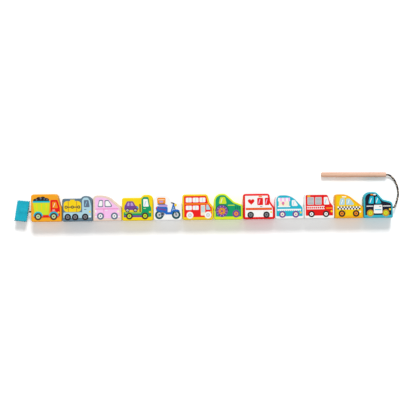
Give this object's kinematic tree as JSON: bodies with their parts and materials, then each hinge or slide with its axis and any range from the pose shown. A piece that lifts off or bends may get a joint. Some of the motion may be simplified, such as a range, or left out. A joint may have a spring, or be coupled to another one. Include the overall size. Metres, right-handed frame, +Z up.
{
  "type": "wooden lacing toy",
  "caption": "Wooden lacing toy: a row of flat vehicle-shaped beads that turn on a braided lace, with a wooden threading needle and a felt end tag.",
  "frame": {"origin": "on the table, at the middle of the footprint without the free loop of lace", "axes": "+X along the row towards the needle end, +Y up the beads' painted faces, +Z up from the table"},
  "size_m": [0.5623, 0.0678, 0.02],
  "materials": {
    "paint_orange": "orange paint on wood, satin",
    "paint_slate": "slate grey paint on wood, satin",
    "paint_natural": "pale natural wood, clear lacquer",
    "paint_yellow": "yellow paint on wood, satin",
    "paint_white": "white paint on wood, satin",
    "paint_golden": "golden yellow paint on wood, satin",
    "paint_lime": "lime green paint on wood, satin",
    "paint_red": "red paint on wood, satin",
    "paint_amber": "amber paint on wood, satin",
    "paint_cyan": "cyan paint on wood, satin",
    "lace_braid": "two-tone braided cotton",
    "needle_wood": "sanded pale wood",
    "tag_felt": "cyan felt"
  },
  "bodies": {
    "lace": {"lace_threaded": "lace_braid"},
    "needle": {"needle": "needle_wood", "lace_free": "lace_braid"},
    "tag": {"tag_front": "tag_felt", "tag_back": "tag_felt"},
    "tipper_truck": {"tipper_truck_bead": "paint_orange"},
    "tanker_truck": {"tanker_truck_bead": "paint_slate"},
    "small_car": {"small_car_bead": "paint_natural"},
    "tow_truck": {"tow_truck_bead": "paint_yellow"},
    "motorbike": {"motorbike_bead": "paint_white"},
    "double_decker_bus": {"double_decker_bus_bead": "paint_golden"},
    "tractor": {"tractor_bead": "paint_lime"},
    "ambulance": {"ambulance_bead": "paint_red"},
    "ice_cream_van": {"ice_cream_van_bead": "paint_white"},
    "fire_engine": {"fire_engine_bead": "paint_white"},
    "taxi": {"taxi_bead": "paint_amber"},
    "police_car": {"police_car_bead": "paint_cyan"}
  },
  "joints": [
    {"name": "tipper_truck_spin", "type": "hinge", "parent": "lace", "child": "tipper_truck", "pos_m": [-0.22779, -0.01864, 0.01], "axis": [1, 0, 0], "continuous": true},
    {"name": "tanker_truck_spin", "type": "hinge", "parent": "lace", "child": "tanker_truck", "pos_m": [-0.18279, -0.01864, 0.01], "axis": [1, 0, 0], "continuous": true},
    {"name": "small_car_spin", "type": "hinge", "parent": "lace", "child": "small_car", "pos_m": [-0.13939, -0.01864, 0.01], "axis": [1, 0, 0], "continuous": true},
    {"name": "tow_truck_spin", "type": "hinge", "parent": "lace", "child": "tow_truck", "pos_m": [-0.09559, -0.01864, 0.01], "axis": [1, 0, 0], "continuous": true},
    {"name": "motorbike_spin", "type": "hinge", "parent": "lace", "child": "motorbike", "pos_m": [-0.05174, -0.01864, 0.01], "axis": [1, 0, 0], "continuous": true},
    {"name": "double_decker_bus_spin", "type": "hinge", "parent": "lace", "child": "double_decker_bus", "pos_m": [-0.00779, -0.01864, 0.01], "axis": [1, 0, 0], "continuous": true},
    {"name": "tractor_spin", "type": "hinge", "parent": "lace", "child": "tractor", "pos_m": [0.03631, -0.01864, 0.01], "axis": [1, 0, 0], "continuous": true},
    {"name": "ambulance_spin", "type": "hinge", "parent": "lace", "child": "ambulance", "pos_m": [0.08061, -0.01864, 0.01], "axis": [1, 0, 0], "continuous": true},
    {"name": "ice_cream_van_spin", "type": "hinge", "parent": "lace", "child": "ice_cream_van", "pos_m": [0.12491, -0.01864, 0.01], "axis": [1, 0, 0], "continuous": true},
    {"name": "fire_engine_spin", "type": "hinge", "parent": "lace", "child": "fire_engine", "pos_m": [0.16826, -0.01864, 0.01], "axis": [1, 0, 0], "continuous": true},
    {"name": "taxi_spin", "type": "hinge", "parent": "lace", "child": "taxi", "pos_m": [0.21131, -0.01864, 0.01], "axis": [1, 0, 0], "continuous": true},
    {"name": "police_car_spin", "type": "hinge", "parent": "lace", "child": "police_car", "pos_m": [0.25376, -0.01864, 0.01], "axis": [1, 0, 0], "continuous": true},
    {"name": "needle_swing", "type": "hinge", "parent": "lace", "child": "needle", "pos_m": [0.27721, -0.01864, 0.0079], "axis": [0, 0, 1], "range_deg": [-100, 10]},
    {"name": "tag_twist", "type": "hinge", "parent": "lace", "child": "tag", "pos_m": [-0.25529, -0.01864, 0.0079], "axis": [1, 0, 0], "continuous": true}
  ]
}
